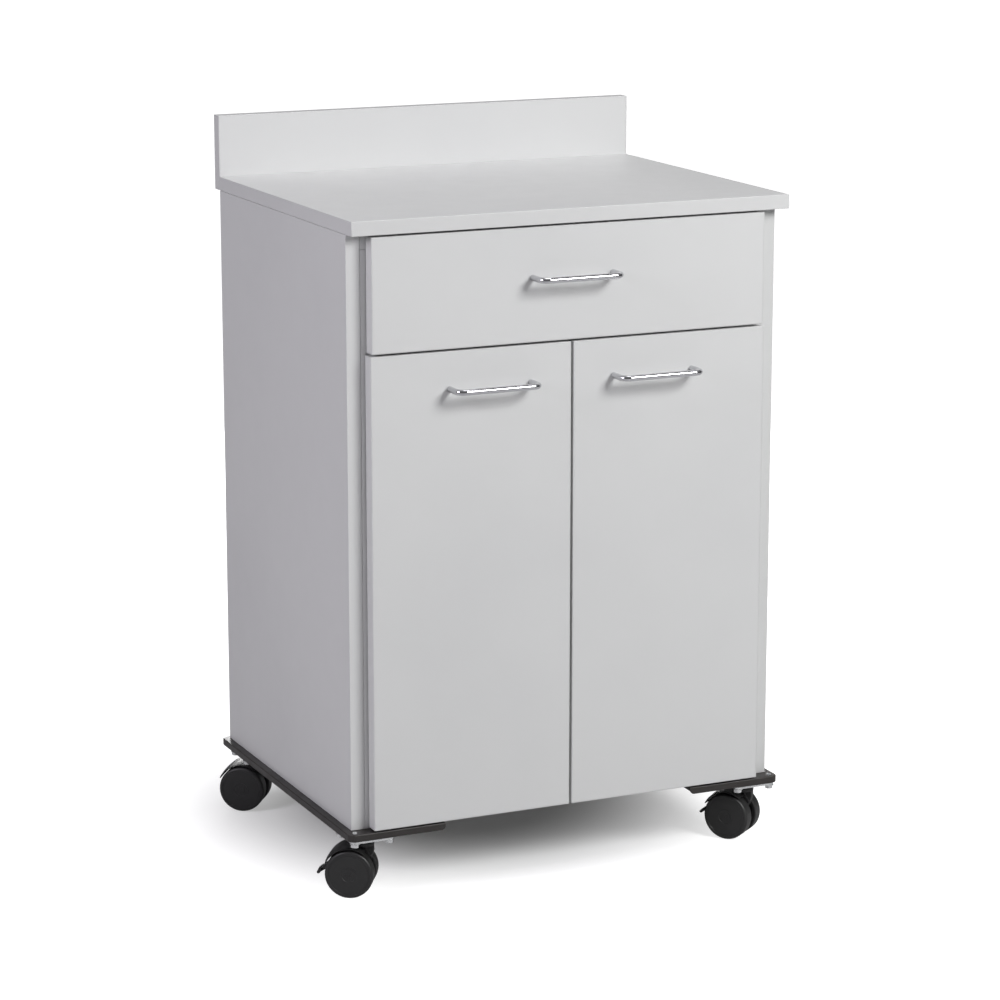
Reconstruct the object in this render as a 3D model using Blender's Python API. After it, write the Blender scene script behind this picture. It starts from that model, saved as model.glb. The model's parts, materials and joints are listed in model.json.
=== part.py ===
"""Mobile bedside cabinet: laminated case, one drawer, two doors, four twin-wheel casters.

Metres, +Z up, +X to the cabinet's right as seen from the front, +Y towards its back.
Every piece is laid out in cabinet coordinates: x = 0 on the case's centre plane,
y = 0 on the front edges of the side panels and z = 0 on the floor. At the end the root
empty is moved so that the origin is the bottom centre of the whole object's box.
"""
import math

import bmesh
import bpy
from mathutils import Matrix, Vector

# ---------------------------------------------------------------- driving dimensions
GAP = 0.0003                 # air between pieces that touch
BOARD = 0.019                # laminated board; each side of the case is two boards thick
CASE_W = 0.6096              # outside the side panels
CASE_D = 0.457               # depth of a side panel
WORK_H = 0.889               # floor to the top of the worktop
BASE_H = 0.0925              # floor to the underside of the case
ARRIS = 0.0007               # rounding of a board's edges

FRONT_STANDOFF = 0.0015      # air between the case and its doors and drawer front
TOP_FRONT_LIP = 0.021        # worktop beyond the case's front edges
TOP_RIGHT_LIP = 0.010        # worktop beyond the right side panel; flush on the left
SPLASH_RISE = 0.083          # backsplash above the worktop

DOOR_INSET = 0.0245          # door's outer edge in from the case's outer face
DRAWER_INSET = 0.0265
DOOR_SPLIT = 0.0035          # between the two doors
DOOR_H = 0.622
DOOR_FLOOR_GAP = 0.002       # door above the case's underside
DRAWER_DOOR_GAP = 0.003
DRAWER_FRONT_H = 0.148

BACK_T = 0.006
SHELF_Z = 0.400              # underside of the adjustable shelf
SHELF_SETBACK = 0.025
SHELF_PLAY = 0.0015          # at each end of the shelf

PULL_CENTRES = 0.114
PULL_REACH = 0.035           # outside of the bar from the front it stands on
PULL_WIRE = 0.004            # radius
PULL_BEND = 0.011            # centre-line radius of a bend
DRAWER_PULL_Z = 0.803
DOOR_PULL_X = 0.116          # middle of a door pull from the centre plane
DOOR_PULL_Z = 0.668

BOX_BOARD = 0.012            # drawer box
BOX_Z = (0.738, 0.833)
BOX_BACK_Y = 0.400
BOX_BOTTOM_Z = (0.748, 0.754)
SLIDE_ROOM = 0.0128          # between an inner side and the drawer box
SLIDE_Z = 0.7285             # underside of the channels on the inner sides
SLIDE_LENGTH = 0.400
SLIDE_SHEET = 0.0012

HINGE_HEIGHTS = {"lower": 0.190, "upper": 0.620}
HINGE_IN = 0.0024            # hinge axis inside the door's outer edge
HINGE_BACK = 0.0147          # hinge axis behind the door's face
LINK_IN = 0.0157             # link's pivot inside the door's outer edge
LINK_BACK = 0.0199           # link's pivot behind the door's face
CUP_SETBACK = 0.0225         # cup's centre from the door's outer edge
CUP_R = 0.0175
CUP_DEPTH = 0.0115
CUP_FLANGE_R = 0.020
LINK_EYE_R = 0.0015
LINK_HALF_Z = 0.005
LINK_SHEET = 0.0016
ARM_SHEET = 0.0015
ARM_HALF_Z = 0.010

RAIL_W = 0.135
RAIL_H = 0.010
RAIL_SIDE_LIP = 0.010        # rail beyond the side panel's outer face
RAIL_FRONT_LIP = 0.020
RAIL_REAR_LIP = 0.008
RAIL_SHEET = 0.0025
RAIL_CORNER = 0.009

WHEEL_R = 0.032
WHEEL_W = 0.018
WHEEL_SPACE = 0.013          # between the two wheels of a caster
TRAIL = 0.018                # axle from the swivel axis
AXLE_R = 0.004
PLATE = 0.060
PLATE_T = 0.003
CASTER_SIDE_INSET = 0.024    # swivel axis in from the case's outer face
CASTER_FRONT_Y = 0.012
CASTER_REAR_Y = 0.410
# direction in which each caster trails, turned from +X towards +Y
CASTERS = {
    "front_left": (-1, CASTER_FRONT_Y, 148.0),
    "front_right": (1, CASTER_FRONT_Y, 128.0),
    "rear_left": (-1, CASTER_REAR_Y, 144.0),
    "rear_right": (1, CASTER_REAR_Y, 140.0),
}
BRAKED = ("front_left", "front_right")
LEVER_PIVOT = (0.024, 0.011)  # from the axle: along the trail, and up

# ---------------------------------------------------------------- derived places
HALF_W = CASE_W / 2
OUTER_WALL_X = HALF_W - BOARD
INNER_X = HALF_W - 2 * BOARD
CASE_TOP = WORK_H - BOARD
FRONT_Y = -FRONT_STANDOFF - BOARD
REAR_OF_FRONT_Y = -FRONT_STANDOFF
DOOR_Z = (BASE_H + DOOR_FLOOR_GAP, BASE_H + DOOR_FLOOR_GAP + DOOR_H)
DRAWER_FRONT_Z = (DOOR_Z[1] + DRAWER_DOOR_GAP, DOOR_Z[1] + DRAWER_DOOR_GAP + DRAWER_FRONT_H)
PANEL_BACK_Y = CASE_D - BACK_T - GAP
BOX_OUT_X = INNER_X - SLIDE_ROOM
BOX_IN_X = BOX_OUT_X - BOX_BOARD
DOOR_OUT_X = HALF_W - DOOR_INSET
PLATE_Z = (BASE_H - RAIL_H - PLATE_T - GAP, BASE_H - RAIL_H - GAP)


# ---------------------------------------------------------------- materials
def material(name, color, roughness, metallic=0.0):
    made = bpy.data.materials.new(name)
    made.use_nodes = True
    shader = made.node_tree.nodes["Principled BSDF"]
    shader.inputs["Base Color"].default_value = (*color, 1.0)
    shader.inputs["Roughness"].default_value = roughness
    shader.inputs["Metallic"].default_value = metallic
    return made


def make_materials():
    return {
        "laminate": material("laminate", (0.64, 0.65, 0.64), 0.45),
        "box_board": material("box_board", (0.78, 0.77, 0.74), 0.55),
        "chrome": material("chrome", (0.80, 0.81, 0.83), 0.08, 1.0),
        "zinc": material("zinc", (0.66, 0.68, 0.70), 0.32, 1.0),
        "black_steel": material("black_steel", (0.03, 0.028, 0.027), 0.40),
        "black_nylon": material("black_nylon", (0.02, 0.02, 0.02), 0.48),
    }


# ---------------------------------------------------------------- helpers
def empty(name, parent=None, at=(0, 0, 0), turn_deg=0.0):
    """A frame for moving pieces, given in its parent's coordinates."""
    made = bpy.data.objects.new(name, None)
    bpy.context.collection.objects.link(made)
    made.parent = parent
    made.location = at
    made.rotation_euler = (0, 0, math.radians(turn_deg))
    return made


def mesh_object(name, shape, finish, parent, at=(0, 0, 0), smooth=False):
    """Turn a bmesh into a named object whose origin is at `at` in its parent."""
    bmesh.ops.recalc_face_normals(shape, faces=shape.faces)
    mesh = bpy.data.meshes.new(name)
    shape.to_mesh(mesh)
    shape.free()
    if finish:
        mesh.materials.append(finish)
    if smooth:
        mesh.shade_smooth()
        mesh.set_sharp_from_angle(angle=math.radians(35))
    made = bpy.data.objects.new(name, mesh)
    bpy.context.collection.objects.link(made)
    made.parent = parent
    made.location = at
    return made


def add_box(shape, low, high):
    size = [b - a for a, b in zip(low, high)]
    middle = [(a + b) / 2 for a, b in zip(low, high)]
    place = Matrix.Translation(middle) @ Matrix.Diagonal((*size, 1.0))
    bmesh.ops.create_cube(shape, size=1.0, matrix=place)


def add_prism(shape, outline, low, high, axis="Z"):
    """Extrude a closed 2-D outline between two heights along Z, or along Y for (x, z) points."""
    def point(a, b, level):
        return (a, b, level) if axis == "Z" else (a, level, b)
    verts = [shape.verts.new(point(a, b, low)) for a, b in outline]
    face = shape.faces.new(verts)
    moved = bmesh.ops.extrude_face_region(shape, geom=[face])["geom"]
    tops = [g for g in moved if isinstance(g, bmesh.types.BMVert)]
    step = Vector(point(0, 0, high)) - Vector(point(0, 0, low))
    bmesh.ops.translate(shape, verts=tops, vec=step)


def add_turned(shape, profile, segments, axis="Y", start_deg=0.0):
    """Turn (along, radius) points about an axis; both ends of the profile lie on it."""
    rings = []
    for along, radius in profile:
        if radius == 0:
            rings.append([shape.verts.new(on_axis(axis, along, 0, 0))])
            continue
        ring = []
        for k in range(segments):
            turn = math.radians(start_deg) + 2 * math.pi * k / segments
            ring.append(shape.verts.new(
                on_axis(axis, along, radius * math.cos(turn), radius * math.sin(turn))))
        rings.append(ring)
    for one, two in zip(rings, rings[1:]):
        for k in range(segments):
            after = (k + 1) % segments
            corners = [one[k % len(one)], one[after % len(one)],
                       two[after % len(two)], two[k % len(two)]]
            distinct = list(dict.fromkeys(corners))
            shape.faces.new(distinct)


def on_axis(axis, along, a, b):
    return (a, along, b) if axis == "Y" else (a, b, along)


def arc(centre, radius, start_deg, end_deg, steps):
    """Points on an arc, both ends included."""
    points = []
    for k in range(steps + 1):
        turn = math.radians(start_deg + (end_deg - start_deg) * k / steps)
        points.append((centre[0] + radius * math.cos(turn), centre[1] + radius * math.sin(turn)))
    return points


def apart(parent, point):
    """A point in cabinet coordinates, seen from a frame that isn't turned."""
    return Vector(point) - parent.location


def bevel(made, width=ARRIS, segments=2):
    rounding = made.modifiers.new("arris", "BEVEL")
    rounding.width = width
    rounding.segments = segments
    rounding.limit_method = "ANGLE"


def boolean(made, other, operation):
    change = made.modifiers.new(operation.lower(), "BOOLEAN")
    change.operation = operation
    change.solver = "EXACT"
    change.object = other
    other.hide_render = True
    other.display_type = "WIRE"


def board(name, x, y, z, finish, parent, rounding=ARRIS):
    """A rectangular board between pairs of cabinet coordinates."""
    middle = [(pair[0] + pair[1]) / 2 for pair in (x, y, z)]
    half = [(pair[1] - pair[0]) / 2 for pair in (x, y, z)]
    shape = bmesh.new()
    add_box(shape, [-h for h in half], half)
    made = mesh_object(name, shape, finish, parent, apart(parent, middle))
    bevel(made, rounding)
    return made


def mirrored(side, low, high):
    """The x pair (low, high) on the right side, or its mirror image on the left."""
    return (low, high) if side > 0 else (-high, -low)


# ---------------------------------------------------------------- case
def make_case(root, finish):
    laminate = finish["laminate"]
    across = (-OUTER_WALL_X + GAP, OUTER_WALL_X - GAP)
    deep = (0.0, PANEL_BACK_Y)
    for name, side in (("left", -1), ("right", 1)):
        board(name + "_side_panel", mirrored(side, OUTER_WALL_X, HALF_W), (0.0, CASE_D),
              (BASE_H, CASE_TOP), laminate, root)
        board(name + "_inner_side", mirrored(side, INNER_X, OUTER_WALL_X - GAP), deep,
              (BASE_H, CASE_TOP - BOARD - GAP), laminate, root)
    board("bottom_panel", (-INNER_X + GAP, INNER_X - GAP), deep, (BASE_H, BASE_H + BOARD),
          laminate, root)
    board("top_panel", across, deep, (CASE_TOP - BOARD, CASE_TOP), laminate, root)
    board("back_panel", across, (CASE_D - BACK_T, CASE_D), (BASE_H, CASE_TOP), laminate, root)
    reach = INNER_X - SHELF_PLAY
    board("adjustable_shelf", (-reach, reach), (SHELF_SETBACK, PANEL_BACK_Y - SHELF_PLAY),
          (SHELF_Z, SHELF_Z + BOARD), laminate, root)
    top_x = (-HALF_W, HALF_W + TOP_RIGHT_LIP)
    board("worktop", top_x, (-TOP_FRONT_LIP, CASE_D), (CASE_TOP + GAP, WORK_H), laminate, root)
    board("backsplash", top_x, (CASE_D + GAP, CASE_D + BOARD),
          (CASE_TOP + GAP, WORK_H + SPLASH_RISE), laminate, root)


# ---------------------------------------------------------------- pulls
def make_pull(name, x, z, finish, parent):
    """A D-shaped wire pull: two legs and a bar, bent from one round wire."""
    root_y = FRONT_Y - GAP
    bar_y = FRONT_Y - PULL_REACH + PULL_WIRE
    half = PULL_CENTRES / 2
    right = arc((half - PULL_BEND, bar_y + PULL_BEND), PULL_BEND, 0, -90, 6)
    path = [(half, root_y)] + right
    path += [(-a, b) for a, b in reversed(path)]
    wire = bpy.data.curves.new(name, "CURVE")
    wire.dimensions = "3D"
    wire.bevel_depth = PULL_WIRE
    wire.bevel_resolution = 3
    wire.use_fill_caps = True
    spline = wire.splines.new("POLY")
    spline.points.add(len(path) - 1)
    for point, (a, b) in zip(spline.points, path):
        point.co = (a, b - root_y, 0.0, 1.0)
    wire.materials.append(finish["chrome"])
    made = bpy.data.objects.new(name, wire)
    bpy.context.collection.objects.link(made)
    made.parent = parent
    made.location = apart(parent, (x, root_y, z))


# ---------------------------------------------------------------- drawer
def make_drawer(root, finish):
    drawer = empty("drawer_frame", root, (0.0, 0.0, BOX_Z[0]))
    reach = HALF_W - DRAWER_INSET
    board("drawer_front", (-reach, reach), (FRONT_Y, REAR_OF_FRONT_Y), DRAWER_FRONT_Z,
          finish["laminate"], drawer)
    box = finish["box_board"]
    box_front_y = REAR_OF_FRONT_Y + GAP
    for name, side in (("left", -1), ("right", 1)):
        board("drawer_%s_side" % name, mirrored(side, BOX_IN_X, BOX_OUT_X),
              (box_front_y, BOX_BACK_Y), BOX_Z, box, drawer)
    inside = (-BOX_IN_X + GAP, BOX_IN_X - GAP)
    board("drawer_back", inside, (BOX_BACK_Y - BOX_BOARD, BOX_BACK_Y), BOX_Z, box, drawer)
    board("drawer_bottom", inside, (box_front_y, BOX_BACK_Y - BOX_BOARD - GAP), BOX_BOTTOM_Z,
          box, drawer)
    make_pull("drawer_handle", 0.0, DRAWER_PULL_Z, finish, drawer)
    for name, side in (("left", -1), ("right", 1)):
        make_slide(name, side, root, drawer, finish["zinc"])


def make_slide(name, side, root, drawer, finish):
    """Roller slide: a channel on the inner side and an angle under the drawer box."""
    sheet = SLIDE_SHEET
    wall = INNER_X - GAP
    low = SLIDE_Z
    high = low + 0.030
    lip = 0.0075
    channel = [(wall, low), (wall, high), (wall - lip, high), (wall - lip, high - sheet),
               (wall - sheet, high - sheet), (wall - sheet, low + sheet),
               (wall - lip, low + sheet), (wall - lip, low)]
    box = BOX_OUT_X + GAP
    foot = BOX_Z[0] - GAP
    crown = foot + 0.030
    angle = [(box + sheet, foot - sheet), (box + sheet, crown - sheet), (box + lip, crown - sheet),
             (box + lip, crown), (box, crown), (box, foot), (box - lip, foot),
             (box - lip, foot - sheet)]
    for part, outline, parent in (("cabinet", channel, root), ("drawer", angle, drawer)):
        shape = bmesh.new()
        add_prism(shape, [(side * a, b - foot) for a, b in outline], 0.0, SLIDE_LENGTH, "Y")
        mesh_object("%s_slide_%s_member" % (name, part), shape, finish, parent,
                    apart(parent, (0.0, 0.003, foot)))


# ---------------------------------------------------------------- doors
def make_door(name, side, root, finish):
    axis_x = side * (DOOR_OUT_X - HINGE_IN)
    axis_y = FRONT_Y + HINGE_BACK
    hinge = empty(name + "_door_frame", root, (axis_x, axis_y, BASE_H))
    door = board(name + "_door", mirrored(side, DOOR_SPLIT / 2, DOOR_OUT_X),
                 (FRONT_Y, REAR_OF_FRONT_Y), DOOR_Z, finish["laminate"], hinge)
    make_pull(name + "_door_handle", side * DOOR_PULL_X, DOOR_PULL_Z, finish, hinge)
    cup_x = side * (DOOR_OUT_X - CUP_SETBACK)
    bores = bmesh.new()
    for height in HINGE_HEIGHTS.values():
        bore = bmesh.new()
        add_turned(bore, [(-CUP_DEPTH - GAP, 0), (-CUP_DEPTH - GAP, CUP_R), (0.005, CUP_R),
                          (0.005, 0)], 24)
        bmesh.ops.translate(bore, verts=bore.verts, vec=(0, 0, height))
        joined = bpy.data.meshes.new("bore")
        bore.to_mesh(joined)
        bore.free()
        bores.from_mesh(joined)
        bpy.data.meshes.remove(joined)
    cutter = mesh_object(name + "_bores", bores, None, hinge,
                         apart(hinge, (cup_x, REAR_OF_FRONT_Y, 0.0)))
    boolean(door, cutter, "DIFFERENCE")
    links = empty(name + "_link_frame", root, (*link_pivot(side), BASE_H))
    for level, height in HINGE_HEIGHTS.items():
        make_cup("%s_%s_hinge_cup" % (name, level), cup_x, height, hinge, finish["zinc"])
        make_arm("%s_%s_hinge_arm" % (name, level), side, height, root, finish["zinc"])
        make_link("%s_%s_hinge_link" % (name, level), side, height, links, finish["zinc"])


def make_cup(name, x, z, hinge, finish):
    """Pressed cup in the door's bore, with a flange on the door's rear face."""
    outer = CUP_R - GAP
    wall = 0.0015
    flange = 0.0008
    shape = bmesh.new()
    add_turned(shape, [(-CUP_DEPTH, 0), (-CUP_DEPTH, outer), (GAP, outer), (GAP, CUP_FLANGE_R),
                       (GAP + flange, CUP_FLANGE_R), (GAP + flange, outer - wall),
                       (-CUP_DEPTH + wall, outer - wall), (-CUP_DEPTH + wall, 0)], 24)
    mesh_object(name, shape, finish, hinge, apart(hinge, (x, REAR_OF_FRONT_Y, z)), smooth=True)


def link_pivot(side):
    """Pivot of the link, at the arm's nose in the mouth of the cup."""
    return (side * (DOOR_OUT_X - LINK_IN), FRONT_Y + LINK_BACK)


def make_link(name, side, height, links, finish):
    """Cranked strap from the arm's nose, across the mouth of the cup and down into it."""
    # centre line in plan: distance towards the cabinet's middle, and towards its back
    bends = [(0.0, 0.0), (0.0065, 0.0001), (0.0125, -0.0005), (0.0160, -0.0035),
             (0.0193, -0.0092)]
    line = smooth_line(bends, 4)
    left, right = offset_lines(line, LINK_SHEET / 2)
    outline = [(-side * a, b) for a, b in left + right[::-1]]
    shape = bmesh.new()
    add_prism(shape, outline, -LINK_HALF_Z, LINK_HALF_Z)
    made = mesh_object(name, shape, finish, links, (0.0, 0.0, height - BASE_H))
    eye = bmesh.new()
    add_turned(eye, [(-LINK_HALF_Z, 0), (-LINK_HALF_Z, LINK_EYE_R), (LINK_HALF_Z, LINK_EYE_R),
                     (LINK_HALF_Z, 0)], 12, "Z")
    knuckle = mesh_object(name + "_eye", eye, None, links, (0.0, 0.0, height - BASE_H))
    boolean(made, knuckle, "UNION")


def smooth_line(points, steps):
    """Catmull-Rom curve through 2-D points."""
    ends = [points[0]] + points + [points[-1]]
    line = []
    for p0, p1, p2, p3 in zip(ends, ends[1:], ends[2:], ends[3:]):
        for k in range(steps):
            t = k / steps
            line.append(tuple(
                0.5 * (2 * b + (c - a) * t + (2 * a - 5 * b + 4 * c - d) * t ** 2
                       + (3 * b - a - 3 * c + d) * t ** 3)
                for a, b, c, d in zip(p0, p1, p2, p3)))
    return line + [points[-1]]


def offset_lines(line, distance):
    """The line moved to its left and to its right."""
    left, right = [], []
    for k, (a, b) in enumerate(line):
        before = line[max(k - 1, 0)]
        after = line[min(k + 1, len(line) - 1)]
        along = Vector((after[0] - before[0], after[1] - before[1])).normalized()
        left.append((a - along.y * distance, b + along.x * distance))
        right.append((a + along.y * distance, b - along.x * distance))
    return left, right


def make_arm(name, side, height, root, finish):
    """Tongue and block screwed to the inner side, with two lugs that hold the link's eye."""
    wall = INNER_X - GAP
    tongue = wall - ARM_SHEET
    pivot_x, pivot_y = link_pivot(1)
    half = ARM_HALF_Z
    shape = bmesh.new()
    add_box(shape, (min(side * tongue, side * wall), 0.003, -half),
            (max(side * tongue, side * wall), 0.062, half))
    made = mesh_object(name, shape, finish, root, (0.0, 0.0, height))
    block = bmesh.new()
    block_x = mirrored(side, wall - 0.010, wall - ARM_SHEET / 2)
    add_box(block, (block_x[0], 0.022, -0.007), (block_x[1], 0.058, 0.007))
    lug = [(wall, 0.006), (wall, 0.0015)] + arc((pivot_x, pivot_y), 0.0016, 0, -195, 7)
    lug += [(tongue - 0.0004, 0.006)]
    lugs = bmesh.new()
    for low, high in ((-half, -LINK_HALF_Z - GAP), (LINK_HALF_Z + GAP, half)):
        add_prism(lugs, [(side * a, b) for a, b in lug], low, high)
    for label, extra in (("_block", block), ("_lugs", lugs)):
        boolean(made, mesh_object(name + label, extra, None, root, (0.0, 0.0, height)), "UNION")


# ---------------------------------------------------------------- base rails
def make_rail(name, side, root, finish):
    """Shallow folded-steel rail with round outer corners, open along its inner edge."""
    outer = HALF_W + RAIL_SIDE_LIP
    inner = outer - RAIL_W
    front, rear = -RAIL_FRONT_LIP, CASE_D + RAIL_REAR_LIP
    shape = bmesh.new()
    add_prism(shape, rail_outline(side, inner, outer, front, rear, RAIL_CORNER),
              -RAIL_H, -GAP)
    made = mesh_object(name, shape, finish, root, (0.0, 0.0, BASE_H))
    sheet = RAIL_SHEET
    pocket = bmesh.new()
    add_prism(pocket, rail_outline(side, inner - 0.01, outer - sheet, front + sheet, rear - sheet,
                                   RAIL_CORNER - sheet),
              -RAIL_H + sheet, -GAP - sheet)
    boolean(made, mesh_object(name + "_pocket", pocket, None, root, (0.0, 0.0, BASE_H)),
            "DIFFERENCE")


def rail_outline(side, inner, outer, front, rear, corner):
    outline = arc((outer - corner, front + corner), corner, -90, 0, 5)
    outline += arc((outer - corner, rear - corner), corner, 0, 90, 5)
    outline += [(inner, rear), (inner, front)]
    return [(side * a, b) for a, b in outline]


# ---------------------------------------------------------------- casters
def make_caster(name, side, y, trail_deg, root, finish):
    """Mounting plate on the rail, and a hooded body that swivels under it."""
    x = side * (HALF_W - CASTER_SIDE_INSET)
    make_caster_plate(name, (x, y, 0.0), root, finish["zinc"])
    swivel = empty(name + "_swivel_frame", root, (x, y, 0.0), trail_deg)
    make_hood(name, swivel, finish["black_nylon"])
    axle = bmesh.new()
    reach = WHEEL_SPACE / 2 + WHEEL_W - 0.0045
    add_turned(axle, [(-reach, 0), (-reach, AXLE_R), (reach, AXLE_R), (reach, 0)], 16)
    mesh_object(name + "_axle", axle, finish["zinc"], swivel, (TRAIL, 0.0, WHEEL_R), smooth=True)
    spin = empty(name + "_wheel_frame", swivel, (TRAIL, 0.0, WHEEL_R))
    for label, hand in (("outer", 1), ("inner", -1)):
        make_wheel("%s_%s_wheel" % (name, label), hand, spin, finish["black_nylon"])
    if name in BRAKED:
        make_lever(name, swivel, finish["black_nylon"])


def make_caster_plate(name, at, root, finish):
    half = PLATE / 2
    corner = 0.006
    outline = []
    for a, b, start in ((1, 1, 0), (-1, 1, 90), (-1, -1, 180), (1, -1, 270)):
        outline += arc((a * (half - corner), b * (half - corner)), corner, start, start + 90, 3)
    shape = bmesh.new()
    add_prism(shape, outline, PLATE_Z[0], PLATE_Z[1])
    made = mesh_object(name + "_caster_plate", shape, finish, root, at)
    raceway = bmesh.new()
    add_turned(raceway, [(PLATE_Z[0] - 0.005, 0), (PLATE_Z[0] - 0.005, 0.014),
                         (PLATE_Z[0] - 0.003, 0.018), (PLATE_Z[0] + 0.001, 0.021),
                         (PLATE_Z[0] + 0.001, 0)], 24, "Z")
    boolean(made, mesh_object(name + "_raceway", raceway, None, root, at), "UNION")


def make_hood(name, swivel, finish):
    """Neck, spine between the wheels and a fender over them, moulded in one."""
    axle_x, axle_z = TRAIL, WHEEL_R
    neck_top = PLATE_Z[0] - 0.005 - GAP
    inner, outer = WHEEL_R + 0.0018, WHEEL_R + 0.0043
    half_spine = WHEEL_SPACE / 2 - 0.0005
    half_fender = WHEEL_SPACE / 2 + WHEEL_W - 0.0005
    middle = (axle_x, axle_z)
    spine = arc(middle, outer - 0.0005, 62, 130, 7)
    spine += [(-0.010, 0.052), (0.002, 0.034)]
    spine += arc(middle, 0.009, 200, 360, 6)
    shape = bmesh.new()
    add_prism(shape, spine, -half_spine, half_spine, "Y")
    hood = mesh_object(name + "_hood", shape, finish, swivel)
    fender = bmesh.new()
    band = arc(middle, outer, 28, 124, 12) + arc(middle, inner, 124, 28, 12)
    add_prism(fender, band, -half_fender, half_fender, "Y")
    boolean(hood, mesh_object(name + "_fender", fender, None, swivel), "UNION")
    neck = bmesh.new()
    add_turned(neck, [(0.050, 0), (0.050, 0.0055), (0.0645, 0.0055), (0.067, 0.012),
                      (neck_top, 0.012), (neck_top, 0)], 20, "Z")
    boolean(hood, mesh_object(name + "_neck", neck, None, swivel), "UNION")
    bore = bmesh.new()
    add_turned(bore, [(-0.02, 0), (-0.02, AXLE_R + GAP), (0.02, AXLE_R + GAP), (0.02, 0)], 16)
    boolean(hood, mesh_object(name + "_axle_bore", bore, None, swivel, (axle_x, 0.0, axle_z)),
            "DIFFERENCE")


def make_wheel(name, hand, spin, finish):
    """Moulded wheel with a blind bore from its inner face."""
    inside = WHEEL_SPACE / 2 + GAP
    outside = WHEEL_SPACE / 2 + WHEEL_W
    tread = 0.0015
    bore = AXLE_R + GAP
    profile = [(outside - 0.004, 0), (outside - 0.004, bore), (inside, bore),
               (inside, WHEEL_R - tread), (inside + tread, WHEEL_R), (outside - tread, WHEEL_R),
               (outside, WHEEL_R - tread), (outside, 0)]
    shape = bmesh.new()
    add_turned(shape, [(hand * a, r) for a, r in profile], 32)
    mesh_object(name, shape, finish, spin, smooth=True)


def make_lever(name, swivel, finish):
    """Brake pedal: an eye between the wheels and a blade that comes out below the fender."""
    pivot_x, pivot_z = LEVER_PIVOT
    lever = empty(name + "_lever_frame", swivel, (TRAIL + pivot_x, 0.0, WHEEL_R + pivot_z))
    blade = arc((0.0, 0.0), 0.004, 70, 250, 6)
    blade += [(0.0175, -0.0150), (0.0200, -0.0150), (0.0208, -0.0125)]
    shape = bmesh.new()
    add_prism(shape, blade, -0.0055, 0.0055, "Y")
    made = mesh_object(name + "_brake_lever", shape, finish, lever)
    pad = bmesh.new()
    add_prism(pad, [(0.0155, -0.0128), (0.0175, -0.0150), (0.0200, -0.0150), (0.0208, -0.0125),
                    (0.0155, -0.0080)], -0.011, 0.011, "Y")
    boolean(made, mesh_object(name + "_pad", pad, None, lever), "UNION")


# ---------------------------------------------------------------- whole cabinet
def centre_on_floor(root):
    """Put the origin at the bottom centre of the box around every piece."""
    bpy.context.view_layer.update()
    graph = bpy.context.evaluated_depsgraph_get()
    corners = []
    for made in bpy.context.scene.objects:
        if made.type == "EMPTY" or made.hide_render:
            continue
        piece = made.evaluated_get(graph)
        corners += [piece.matrix_world @ v.co for v in piece.to_mesh().vertices]
        piece.to_mesh_clear()
    for k in (0, 1):
        values = [c[k] for c in corners]
        root.location[k] = -(min(values) + max(values)) / 2


def main():
    for old in list(bpy.data.objects):
        bpy.data.objects.remove(old, do_unlink=True)
    finish = make_materials()
    root = empty("cabinet")
    make_case(root, finish)
    make_drawer(root, finish)
    for name, side in (("left", -1), ("right", 1)):
        make_door(name, side, root, finish)
        make_rail(name + "_base_rail", side, root, finish["black_steel"])
    for name, (side, y, trail_deg) in CASTERS.items():
        make_caster(name, side, y, trail_deg, root, finish)
    centre_on_floor(root)


main()
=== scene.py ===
"""Looks of the mobile bedside cabinet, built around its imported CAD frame.

Every place comes from the frame: node boxes, joint positions and the whole object's box.
Boards get edge bands, pulls and casters get their moulded and bent shapes, and the
fasteners, rollers, shelf pins and bumpers that the CAD leaves out are added here.
"""
import json
import math
import bmesh
import bpy
from mathutils import Matrix, Vector


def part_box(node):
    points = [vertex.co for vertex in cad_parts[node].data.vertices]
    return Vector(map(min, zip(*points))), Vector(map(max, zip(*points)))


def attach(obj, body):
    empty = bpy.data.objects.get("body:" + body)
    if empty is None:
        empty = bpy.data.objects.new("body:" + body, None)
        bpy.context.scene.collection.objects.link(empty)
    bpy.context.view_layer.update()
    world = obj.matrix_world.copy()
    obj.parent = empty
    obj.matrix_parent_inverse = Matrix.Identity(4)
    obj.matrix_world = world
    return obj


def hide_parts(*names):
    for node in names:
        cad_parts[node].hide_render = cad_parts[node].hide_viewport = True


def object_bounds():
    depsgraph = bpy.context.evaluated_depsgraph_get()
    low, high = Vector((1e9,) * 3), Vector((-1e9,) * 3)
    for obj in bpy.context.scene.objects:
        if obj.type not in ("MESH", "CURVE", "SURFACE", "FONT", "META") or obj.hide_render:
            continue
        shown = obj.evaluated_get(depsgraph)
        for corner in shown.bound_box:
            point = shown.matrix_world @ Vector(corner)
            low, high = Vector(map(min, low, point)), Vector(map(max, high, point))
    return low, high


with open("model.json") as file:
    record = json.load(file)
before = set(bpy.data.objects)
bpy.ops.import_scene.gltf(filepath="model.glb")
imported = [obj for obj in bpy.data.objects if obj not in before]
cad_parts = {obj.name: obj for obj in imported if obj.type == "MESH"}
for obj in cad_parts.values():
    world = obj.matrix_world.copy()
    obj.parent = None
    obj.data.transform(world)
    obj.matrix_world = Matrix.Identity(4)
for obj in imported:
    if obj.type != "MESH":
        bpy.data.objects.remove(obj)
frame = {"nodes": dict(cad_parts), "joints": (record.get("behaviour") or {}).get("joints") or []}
CAD_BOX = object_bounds()
JOINTS = {joint["name"]: joint for joint in frame["joints"]}
SIDES = (("left", -1), ("right", 1))

# ---------------------------------------------------------------- sizes of the added detail
BAND_T = 0.001               # edge band
SEAM = 0.00008               # glue line between a band and its board
ARRIS = 0.0005
CORE_ARRIS = 0.00015
STAND = 0.0003               # air that the CAD keeps between touching pieces

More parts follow.
